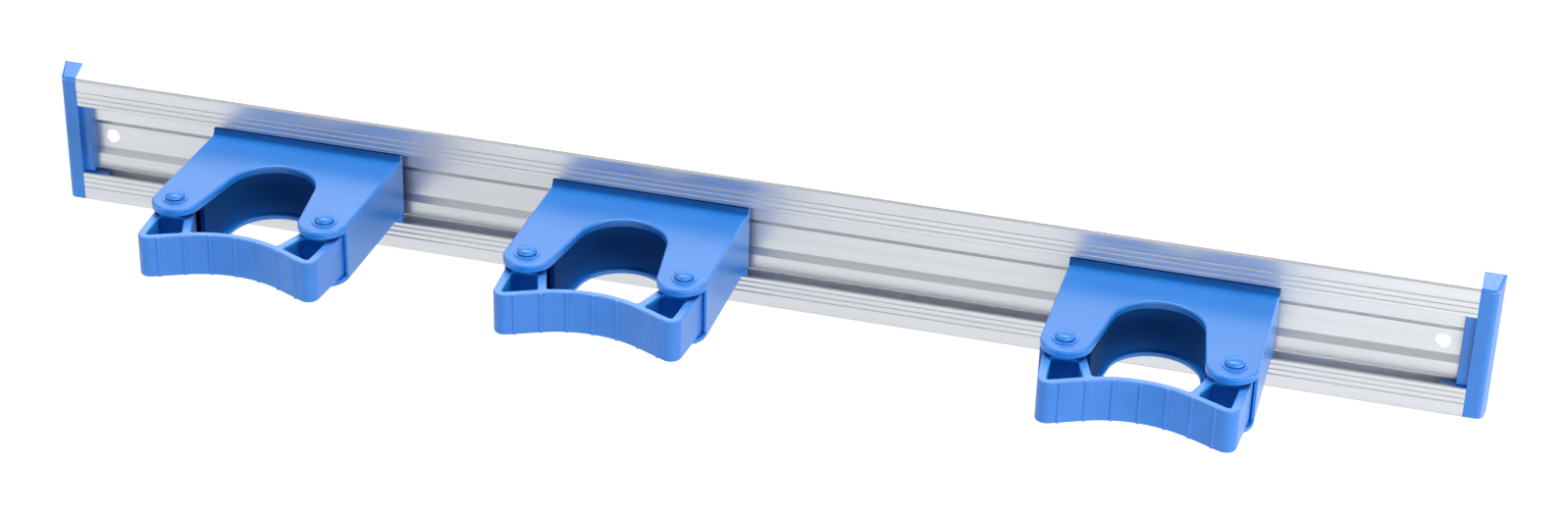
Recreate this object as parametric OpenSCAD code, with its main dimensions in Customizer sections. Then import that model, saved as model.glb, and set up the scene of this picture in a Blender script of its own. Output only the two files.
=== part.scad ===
// Wall rack for mops and brooms: an aluminium channel rail with two end caps and three snap-in holders.
// Millimetres. X runs along the rail, Y points into the wall and Z points up.
// Y = 0 is the wall face and Z = 0 is the rail's mid-height, so the origin lies midway between the two screws.

/* [Rail] */
// Length of the rail between its end caps
rail_len = 529; // [440:1:900]
// Height of the rail's front face
rail_face_h = 51.4; // [48:0.1:60]
// Depth of the rail from its front face to the wall
rail_depth = 8.2; // [7.8:0.1:12]
// Extra height that the top and bottom faces gain on their way to the wall, each
rail_flare = 3.6; // [0.5:0.1:6]
// Height of each front lip
lip_h = 11.4; // [10.6:0.1:12.5]
// Thickness of each front lip
lip_t = 1.4; // [1:0.1:1.8]
// Depth of the two seats that the holders rest on, below the front face
seat_depth = 4.9; // [4.4:0.1:5.6]
// Depth of the middle recess and of the hook slots, below the front face
recess_depth = 6.8; // [6.2:0.1:7.2]
// Height of the flat floor of the middle recess
recess_h = 9.8; // [8:0.1:12]
// Height of the slope between the recess floor and each seat
recess_slope = 2.4; // [0.5:0.1:3]
// How far each hook slot reaches behind its lip
slot_reach = 7.4; // [6.6:0.1:8]
// Radius of the seats' rounded outer edges
seat_edge_r = 1.5; // [0.5:0.1:1.9]
// Wall thickness behind the seats
seat_wall = 1.5; // [1:0.1:2.2]
// Radius of the rail's rear edges
rear_edge_r = 0.6; // [0.2:0.1:1.5]

/* [Fine lines on the lips] */
// Number of fine lines on each lip
line_count = 3; // [1:1:4]
// Distance from the rail's outer front edge to the first line
line_first = 5.4; // [3:0.1:5.6]
// Distance between neighbouring lines
line_pitch = 2.1; // [1:0.1:2.1]
// Width and depth of each line
line_size = 0.25; // [0.1:0.05:0.6]

/* [Wall screws] */
// Distance from each end of the rail to its screw hole
screw_inset = 10.4; // [8:0.1:20]
// Diameter of the screw holes
screw_d = 5.5; // [3.5:0.1:6.5]

/* [End caps] */
// Thickness of a cap's end plate at the front
cap_front_t = 6.1; // [4:0.1:7]
// Thickness of a cap's end plate at the wall
cap_rear_t = 7.9; // [5.5:0.1:9]
// Radius of the cap's lower outer corner
cap_corner_r = 4; // [1:0.1:5]
// Radius of the cap's long front edge
cap_edge_r = 2.2; // [0.3:0.1:3]
// Width of the flange that fills the end of the channel
cap_flange_w = 3.8; // [2:0.1:5]
// Distance from the rail's front face back to the flange
cap_flange_set = 2.2; // [1.5:0.1:3]
// Length of the tongues that hold the cap in the hook slots
cap_tongue_len = 9.4; // [6:0.1:14]
// Thickness of the tongues
cap_tongue_t = 2.6; // [1.5:0.1:3.5]
// Clearance between a cap and the rail
cap_gap = 0.1; // [0.05:0.05:0.3]

/* [Holder places] */
// Centre of the left holder along the rail
holder_1_x = -170.3; // [-172:0.1:-160]
// Centre of the middle holder along the rail
holder_2_x = -35.1; // [-60:0.1:10]
// Centre of the right holder along the rail
holder_3_x = 158.9; // [130:0.1:172]

/* [Housing] */
// Width of a holder's housing
housing_w = 75.1; // [72.8:0.1:82]
// Height of the housing's top face above the rail's mid-height
housing_top = 12.2; // [11:0.1:13]
// Thickness of the top plate
top_plate_t = 2.9; // [1.5:0.1:3.5]
// Thickness of the bottom plate
bottom_plate_t = 1.6; // [1.2:0.1:3]
// Clear height between the two plates
cavity_h = 17.9; // [16.5:0.1:20]
// Thickness of the outer side walls
side_wall_t = 1.2; // [0.8:0.1:1.3]
// Distance from the rail's front face to the front end of the side walls
side_wall_front = 53.8; // [48:0.1:55]
// Thickness of the wall round the throat
throat_wall_t = 2; // [1.2:0.1:2.4]
// Radius of the throat's round back
throat_r = 16.3; // [14:0.1:17]
// Distance from the rail's front face to the back of the throat
throat_back = 18.3; // [16:0.1:22]
// Angle at which each side of the throat opens forwards
throat_flare = 8.5; // [4:0.1:9.5]
// Ledge between the plates' edge and the throat's wall
throat_ledge = 2; // [1:0.1:2.2]
// Distance from the rail's front face to the front end of the throat's wall
throat_wall_front = 48.2; // [40:0.1:48.6]
// Thickness of the stiffening ribs behind the throat
inner_rib_t = 1.6; // [1:0.1:3]
// Distance of each stiffening rib from the holder's middle
inner_rib_x = 9; // [6:0.1:14]
// Radius of the fillet between the top plate and the rear frame
plate_fillet_r = 1.2; // [0.3:0.1:1.7]

/* [Rail hooks] */
// Distance that the housing's rear frame stands in front of the rail's face
frame_proud = 0.5; // [0:0.1:2]
// Thickness of the rear frame's walls
frame_wall = 2.4; // [1.6:0.1:3]
// Clearance between the rear frame and the rail
slide_gap = 0.3; // [0.2:0.05:0.5]
// Distance that the rear pad and hooks are set in from the housing's sides
pad_inset = 1.2; // [0.5:0.1:3]
// How far the fixed upper hook reaches behind its lip
upper_hook = 5.4; // [3:0.1:6]
// How far the springy lower hook reaches behind its lip
lower_hook = 2.6; // [1.5:0.1:3.5]
// Width of the springy latch that carries the lower hook
latch_w = 26; // [16:0.5:34]
// Width of the slots beside the latch
latch_slot = 1.6; // [0.8:0.1:3]

/* [Pins] */
// Distance of each pin from the housing's side
pin_inset = 8.45; // [8.25:0.05:8.75]
// Distance of the pins from the rail's front face
pin_y = 53.5; // [53:0.1:54]
// Diameter of a pin's shaft
pin_d = 4.6; // [3:0.1:6]
// Diameter of a pin's domed head
head_d = 6.4; // [5.8:0.1:7]
// Height of a pin's dome
dome_h = 1.8; // [0.8:0.1:2.4]
// Depth of a head's seat in the plate
head_sink = 0.4; // [0.2:0.1:0.8]
// Diameter of the raised ring round each head
boss_d = 9.4; // [8.6:0.1:12]
// Height of the raised ring
boss_h = 0.4; // [0.2:0.1:0.8]
// Radial clearance between a pin and the ear that turns on it
bore_gap = 0.08; // [0.03:0.01:0.1]
// Radial clearance between a pin and the housing that holds it
pin_gap = 0.02; // [0.01:0.01:0.05]
// Clearance round a pin's head
head_gap = 0.3; // [0.1:0.05:0.5]

/* [Gripper] */
// Height of the rubber gripper
gripper_h = 16.1; // [13:0.1:16.3]
// Clearance between the gripper and the bottom plate
gripper_lift = 0.25; // [0.2:0.05:0.3]
// Distance from the rail's front face to the middle of the gripper's ribbed front
web_front = 67.8; // [66.5:0.1:70]
// Thickness of the gripper's flexible web
web_t = 2.8; // [2:0.1:3.2]
// Radius of the web's hollow front
web_r = 42; // [38:0.5:55]
// Distance of the gripper's outer front corners from the housing's sides
ear_inset = 3.05; // [2.05:0.1:4.05]
// Radius of each ear's outer front corner
ear_corner_r = 4; // [2:0.1:5]
// Radius of each ear round its pin
ear_barrel_r = 6.9; // [6:0.05:6.9]
// Wall thickness of each ear's hollow cell
ear_wall = 3.2; // [2:0.1:3.6]
// Distance from the holder's middle to the corner where each ear leaves the web
ear_root_x = 16.7; // [15:0.1:17.5]
// Distance from the holder's middle to the point where the flat front of each ear starts
ear_flat_x = 18; // [17.6:0.1:20]
// Distance from the pin's centre forward to the back of the ear's hollow cell
cell_back = 5.8; // [4:0.1:7]
// Number of raised ribs across the gripper's front
rib_count = 7; // [1:2:7]
// Distance between neighbouring ribs along the front
rib_pitch = 9.2; // [6:0.1:9.3]
// Width of a rib
rib_w = 1.3; // [0.8:0.1:2]
// Height of a rib
rib_h = 0.45; // [0.2:0.05:0.6]

/* [Hidden] */
$fn = 96;

aluminium = "#d6d8dc";
housing_blue = "#3d84df";
gripper_blue = "#4a8ee8";

// Overshoot of cutting shapes past the faces that they cut
cut = 1;

// Rail: distances from its front face are turned into Y by adding rail_front
rail_front = -rail_depth;
half_face = rail_face_h / 2;
lip_edge = half_face - lip_h;
rail_half_h = half_face + rail_flare;
slot_end = lip_edge + slot_reach;
screw_x = rail_len / 2 - screw_inset;
seat_inner = recess_h / 2 + recess_slope;
seat_outer = lip_edge - seat_edge_r;

// Outward direction of the rail's sloping top face, and the centre of the round on its rear edge
flare_out = [-rail_flare, rail_depth] / norm([rail_flare, rail_depth]);
rear_edge_centre = [-rear_edge_r, rail_half_h - (rear_edge_r + flare_out[0] * -rear_edge_r) / flare_out[1]];

// Holder: Y = 0 is the rail's front face in the modules from here on
half_w = housing_w / 2;
cavity_top = housing_top - top_plate_t;
cavity_bottom = cavity_top - cavity_h;
housing_bottom = cavity_bottom - bottom_plate_t;
pin_x = half_w - pin_inset;
pin_place = [pin_x, -pin_y];
throat_centre = [0, -throat_back - throat_r];
flare_normal = [cos(throat_flare), sin(throat_flare)];
frame_half_h = lip_edge - slide_gap;
pad_rear = seat_depth - slide_gap;
hook_front = lip_t + slide_gap;

// Radius of the round arm tips, which touch the housing's side and the throat's side
tip_r = (flare_normal[0] * half_w - flare_normal[1] * pin_y - flare_normal * throat_centre - throat_r)
    / (1 + flare_normal[0]);
tip_centre = [half_w - tip_r, -pin_y];

// Gripper: its front is an arc round web_centre that runs on into a flat on each ear
web_centre = [0, -web_front - web_r];
web_rear_r = web_r + web_t;
ear_half_w = half_w - ear_inset;
flat_angle = asin(ear_flat_x / web_r);
flat_start_s = web_r * flat_angle * PI / 180;
root_angle = asin(ear_root_x / web_rear_r);
ear_root = web_centre + web_rear_r * [sin(root_angle), cos(root_angle)];
ear_root_front = web_centre + web_r * [sin(root_angle), cos(root_angle)];
gripper_z = cavity_bottom + gripper_lift;
bore_d = pin_d + 2 * bore_gap;

// Ribs on each side of the middle one, and how many of them lie on the flexible web
side_ribs = (rib_count - 1) / 2;
web_ribs = min(side_ribs, floor(web_r * root_angle * PI / 180 / rib_pitch));

// Centre of an ear's corner round, which touches the flat front and lies under the ear's full width
flat_point = web_centre + web_r * [sin(flat_angle), cos(flat_angle)];
flat_out = [sin(flat_angle), cos(flat_angle)];
flat_along = [cos(flat_angle), -sin(flat_angle)];
corner_run = (ear_half_w - ear_corner_r - flat_point[0] - flat_out[0] * ear_corner_r) / flat_along[0];
corner_centre = flat_point + flat_along * corner_run + flat_out * ear_corner_r;

// Point where a line from point p touches the circle of radius r round centre c, on the side given by 1 or -1
function touch(p, c, r, side) =
    let (d = norm(p - c), to_p = atan2(p[1] - c[1], p[0] - c[0]), turn = acos(r / d))
    c + r * [cos(to_p + side * turn), sin(to_p + side * turn)];

// Unit normal of the line that touches two circles of radii r1 and r2 on the same side
function shared_normal(c1, r1, c2, r2, side) =
    let (d = norm(c2 - c1), along = atan2(c2[1] - c1[1], c2[0] - c1[0]), turn = acos((r1 - r2) / d))
    [cos(along + side * turn), sin(along + side * turn)];

outer_normal = shared_normal(pin_place, ear_barrel_r, corner_centre, ear_corner_r, 1);
throat_touch = touch(ear_root, pin_place, ear_barrel_r, -1);
throat_normal = (throat_touch - pin_place) / ear_barrel_r;

// Direction from the gripper's front into the rubber, at distance s along the front
function into_rubber(s) =
    s < flat_start_s ? [sin(s / web_r * 180 / PI), cos(s / web_r * 180 / PI)] : flat_out;

// Point of the gripper's front at distance s along it
function front_point(s) =
    s < flat_start_s ? web_centre + web_r * into_rubber(s) : flat_point + flat_along * (s - flat_start_s);

// Puts a profile drawn in Y and Z along X, from x0 to x1
module along_x(x0, x1) {
    translate([x0, 0, 0])
        rotate([90, 0, 90])
            linear_extrude(x1 - x0)
                children();
}

// Puts an outline drawn in X and Y between two heights
module between(z0, z1) {
    translate([0, 0, z0])
        linear_extrude(z1 - z0)
            children();
}

// Repeats a shape above and below the rail's middle, in a profile
module both_halves() {
    children();
    mirror([0, 1])
        children();
}

// Repeats a shape on the left and right of a holder
module both_sides() {
    children();
    mirror([1, 0, 0])
        children();
}

// The rail's outside, seen from its end, with rounded rear edges
module rail_outline() {
    difference() {
        polygon([
            [rail_front, -half_face],
            [rail_front, half_face],
            [0, rail_half_h],
            [0, -rail_half_h]
        ]);
        both_halves()
            difference() {
                polygon([
                    rear_edge_centre,
                    rear_edge_centre + rear_edge_r * flare_out,
                    [cut, rail_half_h + cut],
                    [cut, rear_edge_centre[1]]
                ]);
                translate(rear_edge_centre)
                    circle(rear_edge_r);
            }
    }
}

// The open channel down to the seats, with the seats' outer edges rounded away into the hook slots
module channel_mouth() {
    translate([rail_front - cut, -lip_edge])
        square([cut + seat_depth, 2 * lip_edge]);
    both_halves()
        difference() {
            translate([rail_front + seat_depth - cut, seat_outer])
                square([cut + seat_edge_r, seat_edge_r]);
            translate([rail_front + seat_depth + seat_edge_r, seat_outer])
                circle(seat_edge_r);
        }
}

// The sloped recess between the seats, which leaves room for the heads of the wall screws
module middle_recess() {
    polygon([
        [rail_front + seat_depth - cut, -seat_inner],
        [rail_front + seat_depth, -seat_inner],
        [rail_front + recess_depth, -recess_h / 2],
        [rail_front + recess_depth, recess_h / 2],
        [rail_front + seat_depth, seat_inner],
        [rail_front + seat_depth - cut, seat_inner]
    ]);
}

// One hook slot behind the upper lip
module hook_slot() {
    translate([rail_front + lip_t, lip_edge - cut])
        square([recess_depth - lip_t, slot_reach + cut]);
    translate([rail_front + seat_depth, lip_edge - cut])
        square([recess_depth - seat_depth, slot_reach + cut]);
}

// One hollow in the rear of the rail, which leaves an even wall behind the upper seat
module rear_hollow() {
    polygon([
        [rail_front + seat_depth + seat_wall, seat_inner + seat_wall / 2],
        [rail_front + seat_depth + seat_wall, seat_outer - seat_wall / 2],
        [cut, seat_outer - seat_wall / 2],
        [cut, seat_inner - recess_slope / 2]
    ]);
}

// Fine lines cut along the upper lip
module lip_lines() {
    for (i = [0 : line_count - 1])
        translate([rail_front, half_face - line_first - i * line_pitch])
            rotate(45)
                square(line_size * sqrt(2), center = true);
}

module rail_profile() {
    difference() {
        rail_outline();
        channel_mouth();
        middle_recess();
        both_halves() {
            hook_slot();
            rear_hollow();
            lip_lines();
        }
    }
}

// The extruded rail with its two screw holes
module rail() {
    color(aluminium)
        difference() {
            along_x(-rail_len / 2, rail_len / 2)
                rail_profile();
            for (side = [-1, 1])
                translate([side * screw_x, rail_front, 0])
                    rotate([-90, 0, 0])
                        cylinder(d = screw_d, h = rail_depth + cut);
        }
}

// What is cut off the right cap's end plate, seen from above, to lean its outer face and round its front edge
module cap_plan_waste() {
    lean = atan2(cap_rear_t - cap_front_t, rail_depth);
    lean_out = [cos(lean), -sin(lean)];
    edge_centre = [cap_front_t - cap_edge_r * (1 - sin(lean)) / cos(lean), rail_front + cap_edge_r];
    difference() {
        polygon([
            [edge_centre[0], rail_front - cut],
            edge_centre,
            edge_centre + cap_edge_r * lean_out,
            [cap_rear_t, 0],
            [cap_rear_t, cut],
            [cap_rear_t + cut, cut],
            [cap_rear_t + cut, rail_front - cut]
        ]);
        translate(edge_centre)
            circle(cap_edge_r);
    }
}

// What is cut off the right cap's end plate, seen from the front, to round its lower outer corner
module cap_face_waste() {
    corner = [cap_rear_t - cap_corner_r, -rail_half_h + cap_corner_r];
    difference() {
        translate([corner[0], -rail_half_h - cut])
            square([cap_corner_r + cut, cap_corner_r + cut]);
        translate(corner)
            circle(cap_corner_r);
    }
}

// Flange that fills the channel just inside the end plate
module cap_flange_profile() {
    polygon([
        [rail_front + cap_flange_set, -lip_edge + cap_gap],
        [rail_front + seat_depth - cap_gap, -lip_edge + cap_gap],
        [rail_front + seat_depth - cap_gap, -seat_inner],
        [rail_front + recess_depth - cap_gap, -recess_h / 2],
        [rail_front + recess_depth - cap_gap, recess_h / 2],
        [rail_front + seat_depth - cap_gap, seat_inner],
        [rail_front + seat_depth - cap_gap, lip_edge - cap_gap],
        [rail_front + cap_flange_set, lip_edge - cap_gap]
    ]);
}

// Tongue that slides into the hook slot behind the upper lip
module cap_tongue_profile() {
    translate([rail_front + lip_t + cap_gap, lip_edge + cap_gap])
        square([cap_tongue_t, slot_reach - 2 * cap_gap]);
}

// Cap for the right end, drawn with the rail's end at X = 0
module end_cap() {
    difference() {
        along_x(0, cap_rear_t)
            rail_outline();
        between(-rail_half_h - cut, rail_half_h + cut)
            cap_plan_waste();
        translate([0, cut, 0])
            rotate([90, 0, 0])
                linear_extrude(rail_depth + 2 * cut)
                    cap_face_waste();
    }
    along_x(-cap_flange_w, 0)
        cap_flange_profile();
    along_x(-cap_tongue_len, cut)
        both_halves()
            cap_tongue_profile();
}

module end_cap_right() {
    color(housing_blue)
        translate([rail_len / 2, 0, 0])
            end_cap();
}

module end_cap_left() {
    color(housing_blue)
        translate([-rail_len / 2, 0, 0])
            mirror([1, 0, 0])
                end_cap();
}

// The throat's hollow between two heights, grown outwards by a distance and open towards the front
module throat_hollow(grow, z0, z1) {
    r = throat_r + grow;
    side = throat_centre + r * flare_normal;
    front = side + [tan(throat_flare), -1] * (pin_y + cut);
    between(z0, z1)
        translate(throat_centre)
            circle(r);
    between(z0, z1)
        polygon([
            [-side[0], side[1]],
            side,
            front,
            [-front[0], front[1]]
        ]);
}

// A plate of the housing between two heights: a block with two round-tipped arms beside the throat
module plate(z0, z1) {
    side = throat_centre + throat_r * flare_normal;
    tip_side = tip_centre - tip_r * flare_normal;
    difference() {
        between(z0, z1)
            polygon([
                [-half_w, -frame_proud],
                [-half_w, tip_centre[1]],
                [-tip_centre[0], tip_centre[1]],
                [-tip_side[0], tip_side[1]],
                [-side[0], side[1]],
                side,
                tip_side,
                tip_centre,
                [half_w, tip_centre[1]],
                [half_w, -frame_proud]
            ]);
        between(z0 - cut, z1 + cut)
            translate(throat_centre)
                circle(throat_r);
    }
    both_sides()
        between(z0, z1)
            translate(tip_centre)
                circle(tip_r);
}

// Wall that lines the throat between the plates
module throat_wall() {
    difference() {
        throat_hollow(throat_ledge + throat_wall_t, cavity_bottom, cavity_top);
        throat_hollow(throat_ledge, cavity_bottom - cut, cavity_top + cut);
        translate([-half_w, -2 * throat_wall_front, cavity_bottom - cut])
            cube([housing_w, throat_wall_front, cavity_h + 2 * cut]);
    }
}

// Ribs that tie the throat's wall to the rear frame
module stiffening_ribs() {
    difference() {
        both_sides()
            translate([inner_rib_x - inner_rib_t / 2, throat_centre[1], cavity_bottom])
                cube([inner_rib_t, -throat_centre[1] - frame_proud, cavity_h]);
        throat_hollow(throat_ledge + throat_wall_t / 2, cavity_bottom - cut, cavity_top + cut);
    }
}

// Fillet along the corner between the top plate and the rear frame
module plate_fillet() {
    along_x(-half_w, half_w)
        difference() {
            translate([-frame_proud - plate_fillet_r, housing_top - top_plate_t / 2])
                square([plate_fillet_r + frame_proud, plate_fillet_r + top_plate_t / 2]);
            translate([-frame_proud - plate_fillet_r, housing_top + plate_fillet_r])
                circle(plate_fillet_r);
        }
}

// Seats for a pin's head and shaft, cut through both plates
module pin_seat() {
    translate([0, 0, housing_bottom - cut])
        cylinder(d = pin_d + 2 * pin_gap, h = housing_top - housing_bottom + boss_h + 2 * cut);
    translate([0, 0, housing_top - head_sink])
        cylinder(d = head_d + 2 * head_gap, h = head_sink + boss_h + cut);
    translate([0, 0, housing_bottom - cut])
        cylinder(d = head_d + 2 * head_gap, h = head_sink + cut);
}

// Rear frame between the rail's lips: four walls round an open back
module rear_frame() {
    translate([-half_w, -frame_proud, -frame_half_h])
        difference() {
            cube([housing_w, frame_proud + hook_front, 2 * frame_half_h]);
            translate([frame_wall, -cut, frame_half_h + cavity_bottom])
                cube([housing_w - 2 * frame_wall, frame_proud + hook_front + 2 * cut, cavity_h]);
        }
}

// Pad behind the rear frame that bears on the rail's two seats
module seat_pad() {
    pad_w = housing_w - 2 * pad_inset;
    difference() {
        translate([-pad_w / 2, hook_front - cut, -frame_half_h])
            cube([pad_w, pad_rear - hook_front + cut, 2 * frame_half_h]);
        translate([-half_w + frame_wall, hook_front - 2 * cut, cavity_bottom])
            cube([housing_w - 2 * frame_wall, pad_rear + 2 * cut, cavity_h]);
    }
}

// Hook that reaches behind a lip, drawn upwards, with a rounded nose
module hook(width, reach) {
    thick = pad_rear - hook_front;
    straight = reach - thick / 2;
    translate([-width / 2, 0, 0])
        rotate([90, 0, 90])
            linear_extrude(width) {
                translate([hook_front, frame_half_h - cut])
                    square([thick, cut + slide_gap + straight]);
                translate([hook_front + thick / 2, frame_half_h + slide_gap + straight])
                    circle(thick / 2);
            }
}

// Slots that free the latch, so that the lower hook can spring over its lip
module latch_slots() {
    for (side = [-1, 1])
        translate([side * (latch_w + latch_slot) / 2 - latch_slot / 2, -frame_proud - cut, -frame_half_h - cut])
            cube([latch_slot, pad_rear + frame_proud + 2 * cut, housing_bottom + frame_half_h + cut]);
}

// One housing, moulded in one piece, drawn with the rail's front face at Y = 0
module housing() {
    difference() {
        union() {
            plate(cavity_top, housing_top);
            plate(housing_bottom, cavity_bottom);
            throat_wall();
            stiffening_ribs();
            both_sides()
                translate([half_w - side_wall_t, -side_wall_front, cavity_bottom])
                    cube([side_wall_t, side_wall_front - frame_proud, cavity_h]);
            both_sides()
                translate([pin_x, -pin_y, housing_top])
                    cylinder(d = boss_d, h = boss_h);
            rear_frame();
            plate_fillet();
            seat_pad();
            hook(housing_w - 2 * pad_inset, upper_hook);
            mirror([0, 0, 1])
                hook(latch_w, lower_hook);
        }
        both_sides()
            translate([pin_x, -pin_y, 0])
                pin_seat();
        latch_slots();
    }
}

// Rivet-like pin with a domed head above and a flat head below
module pin() {
    top_seat = housing_top - head_sink;
    bottom_seat = housing_bottom + head_sink;
    dome_foot = housing_top + boss_h;
    dome_r = (head_d * head_d / 4 + dome_h * dome_h) / (2 * dome_h);
    rotate_extrude() {
        translate([0, housing_bottom])
            square([head_d / 2, bottom_seat - housing_bottom]);
        translate([0, bottom_seat])
            square([pin_d / 2, top_seat - bottom_seat]);
        translate([0, top_seat])
            square([head_d / 2, dome_foot - top_seat]);
        intersection() {
            translate([0, dome_foot + dome_h - dome_r])
                circle(dome_r);
            translate([0, dome_foot])
                square([head_d / 2, dome_h]);
        }
    }
}

// Puts an outline of the gripper at its full height
module gripper_layer() {
    between(gripper_z, gripper_z + gripper_h)
        children();
}

// The space in front of the web's hollow face
module web_front_cut() {
    between(gripper_z - cut, gripper_z + gripper_h + cut)
        translate(web_centre)
            circle(web_r, $fn = 180);
}

// Solid body of the right ear
module ear_body() {
    difference() {
        gripper_layer()
            polygon([
                pin_place,
                pin_place + ear_barrel_r * outer_normal,
                corner_centre + ear_corner_r * outer_normal,
                corner_centre,
                corner_centre - ear_corner_r * flat_out,
                flat_point,
                ear_root_front,
                ear_root,
                throat_touch
            ]);
        web_front_cut();
    }
    gripper_layer()
        translate(corner_centre)
            circle(ear_corner_r);
    gripper_layer()
        translate(pin_place)
            circle(ear_barrel_r);
}

// Hollow cell of the right ear, seen from above, with even walls all round it
module ear_cell() {
    outer = pin_place + (ear_barrel_r - ear_wall) * outer_normal;
    throat = pin_place + (ear_barrel_r - ear_wall) * throat_normal;
    outer_way = [outer_normal[1], -outer_normal[0]];
    throat_way = [-throat_normal[1], throat_normal[0]];
    intersection() {
        polygon([
            outer,
            outer + outer_way * web_front,
            throat + throat_way * web_front,
            throat
        ]);
        translate([0, -web_front - ear_half_w])
            square([ear_half_w, web_front + ear_half_w - pin_y - cell_back]);
        difference() {
            translate(flat_point + web_t * flat_out)
                rotate(-flat_angle)
                    translate([-ear_half_w, 0])
                        square(2 * ear_half_w);
            translate(web_centre)
                circle(web_rear_r, $fn = 180);
        }
    }
}

// Rib number i, counted from the middle of the front
module rib(i) {
    s = i * rib_pitch;
    gripper_layer()
        translate(front_point(s) + (rib_w / 2 - rib_h) * into_rubber(s))
            circle(d = rib_w);
}

// The right ear of a gripper, with its bore, its hollow cell and its share of the ribs
module ear() {
    difference() {
        union() {
            ear_body();
            for (i = [web_ribs + 1 : 1 : side_ribs])
                rib(i);
        }
        between(gripper_z - cut, gripper_z + gripper_h + cut)
            ear_cell();
        between(gripper_z - cut, gripper_z + gripper_h + cut)
            translate(pin_place)
                circle(d = bore_d);
    }
}

// The right half of a gripper's flexible web, from the holder's middle to the root of the ear
module web() {
    reach = 2 * web_rear_r;
    intersection() {
        union() {
            difference() {
                gripper_layer()
                    translate(web_centre)
                        circle(web_rear_r, $fn = 180);
                web_front_cut();
            }
            for (i = [0 : 1 : web_ribs])
                rib(i);
        }
        gripper_layer()
            translate(web_centre)
                polygon([
                    [0, 0],
                    [0, reach],
                    reach * [sin(root_angle), cos(root_angle)]
                ]);
    }
}

// Places a piece of a holder on the rail
module on_rail(x) {
    translate([x, rail_front, 0])
        children();
}

module housing_at(x) {
    color(housing_blue)
        on_rail(x)
            housing();
}

module pin_at(x, side) {
    color(housing_blue)
        on_rail(x)
            translate([side * pin_x, -pin_y, 0])
                pin();
}

module ear_at(x, side) {
    color(gripper_blue)
        on_rail(x)
            mirror([side < 0 ? 1 : 0, 0, 0])
                ear();
}

module web_at(x, side) {
    color(gripper_blue)
        on_rail(x)
            mirror([side < 0 ? 1 : 0, 0, 0])
                web();
}

rail();
end_cap_left();
end_cap_right();

housing_at(holder_1_x);  // housing_1
pin_at(holder_1_x, -1);  // pin_left_1
pin_at(holder_1_x, 1);  // pin_right_1
ear_at(holder_1_x, -1);  // ear_left_1
ear_at(holder_1_x, 1);  // ear_right_1
web_at(holder_1_x, -1);  // web_left_1
web_at(holder_1_x, 1);  // web_right_1

housing_at(holder_2_x);  // housing_2
pin_at(holder_2_x, -1);  // pin_left_2
pin_at(holder_2_x, 1);  // pin_right_2
ear_at(holder_2_x, -1);  // ear_left_2
ear_at(holder_2_x, 1);  // ear_right_2
web_at(holder_2_x, -1);  // web_left_2
web_at(holder_2_x, 1);  // web_right_2

housing_at(holder_3_x);  // housing_3
pin_at(holder_3_x, -1);  // pin_left_3
pin_at(holder_3_x, 1);  // pin_right_3
ear_at(holder_3_x, -1);  // ear_left_3
ear_at(holder_3_x, 1);  // ear_right_3
web_at(holder_3_x, -1);  // web_left_3
web_at(holder_3_x, 1);  // web_right_3
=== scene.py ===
from math import acos, asin, atan2, cos, hypot, pi, radians, sin, tan

import bmesh
import bpy
from mathutils import Euler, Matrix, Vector
from mathutils.geometry import intersect_line_line_2d, tessellate_polygon


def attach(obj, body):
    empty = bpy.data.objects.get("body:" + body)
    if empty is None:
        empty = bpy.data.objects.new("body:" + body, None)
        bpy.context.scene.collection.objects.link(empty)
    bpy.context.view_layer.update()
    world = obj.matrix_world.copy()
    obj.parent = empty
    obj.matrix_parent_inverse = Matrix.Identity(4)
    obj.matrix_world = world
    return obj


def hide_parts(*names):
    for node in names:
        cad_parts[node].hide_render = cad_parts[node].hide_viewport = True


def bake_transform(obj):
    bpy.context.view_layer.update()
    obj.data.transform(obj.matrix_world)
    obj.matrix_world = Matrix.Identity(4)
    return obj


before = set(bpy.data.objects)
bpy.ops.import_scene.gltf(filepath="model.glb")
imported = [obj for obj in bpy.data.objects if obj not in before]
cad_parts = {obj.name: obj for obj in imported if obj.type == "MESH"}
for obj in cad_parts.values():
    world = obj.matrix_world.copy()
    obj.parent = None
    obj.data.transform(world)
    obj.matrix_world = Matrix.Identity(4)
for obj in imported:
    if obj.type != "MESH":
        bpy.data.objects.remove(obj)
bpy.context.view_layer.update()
MM = 0.001


# Sizes that the CAD gives to the pieces shaped here

RAIL_DEPTH_MM = 8.2
RAIL_END_MM = 264.5
LIP_EDGE_MM = 14.3
HOLDER_X_MM = {1: -170.3, 2: -35.1, 3: 158.9}
PLATE_TOP_MM = 12.2
CAVITY_MM = (-8.6, 9.3)

# Places on a holder: X from its middle and Y from the rail's front face
PIN_MM = Vector((29.1, -53.5))
THROAT_MM = Vector((27.5, -48.3))
THROAT_REAR_Y_MM = -12
ROUNDED_TO_Y_MM = -2
PLATE_FILLET_Y_MM = -1.8


# Camera: fitted to the photograph's edges

CAMERA_PLACE_MM = (265.5, -984.5, 550.7)
CAMERA_TURN_DEG = (61.153, -1.572, 15.186)
CAMERA_LENS_MM = 72.12
SENSOR_MM = 36


def add_camera():
    """The camera of the main view."""
    data = bpy.data.cameras.new("camera")
    data.lens = CAMERA_LENS_MM
    data.sensor_width = SENSOR_MM
    data.sensor_fit = "HORIZONTAL"
    data.clip_start = 0.01
    camera = bpy.data.objects.new("camera", data)
    camera.location = Vector(CAMERA_PLACE_MM) * MM
    camera.rotation_euler = Euler([radians(a) for a in CAMERA_TURN_DEG], "XYZ")
    bpy.context.scene.collection.objects.link(camera)
    bpy.context.scene.camera = camera


# Materials

# Where the painted shade at the rear of a housing's top plate fades out, in Y and in Z
CORNER_SHADE_Y_MM = (-15.2, -9.7)
CORNER_SHADE_Z_MM = (11.5, 12.1)


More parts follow.
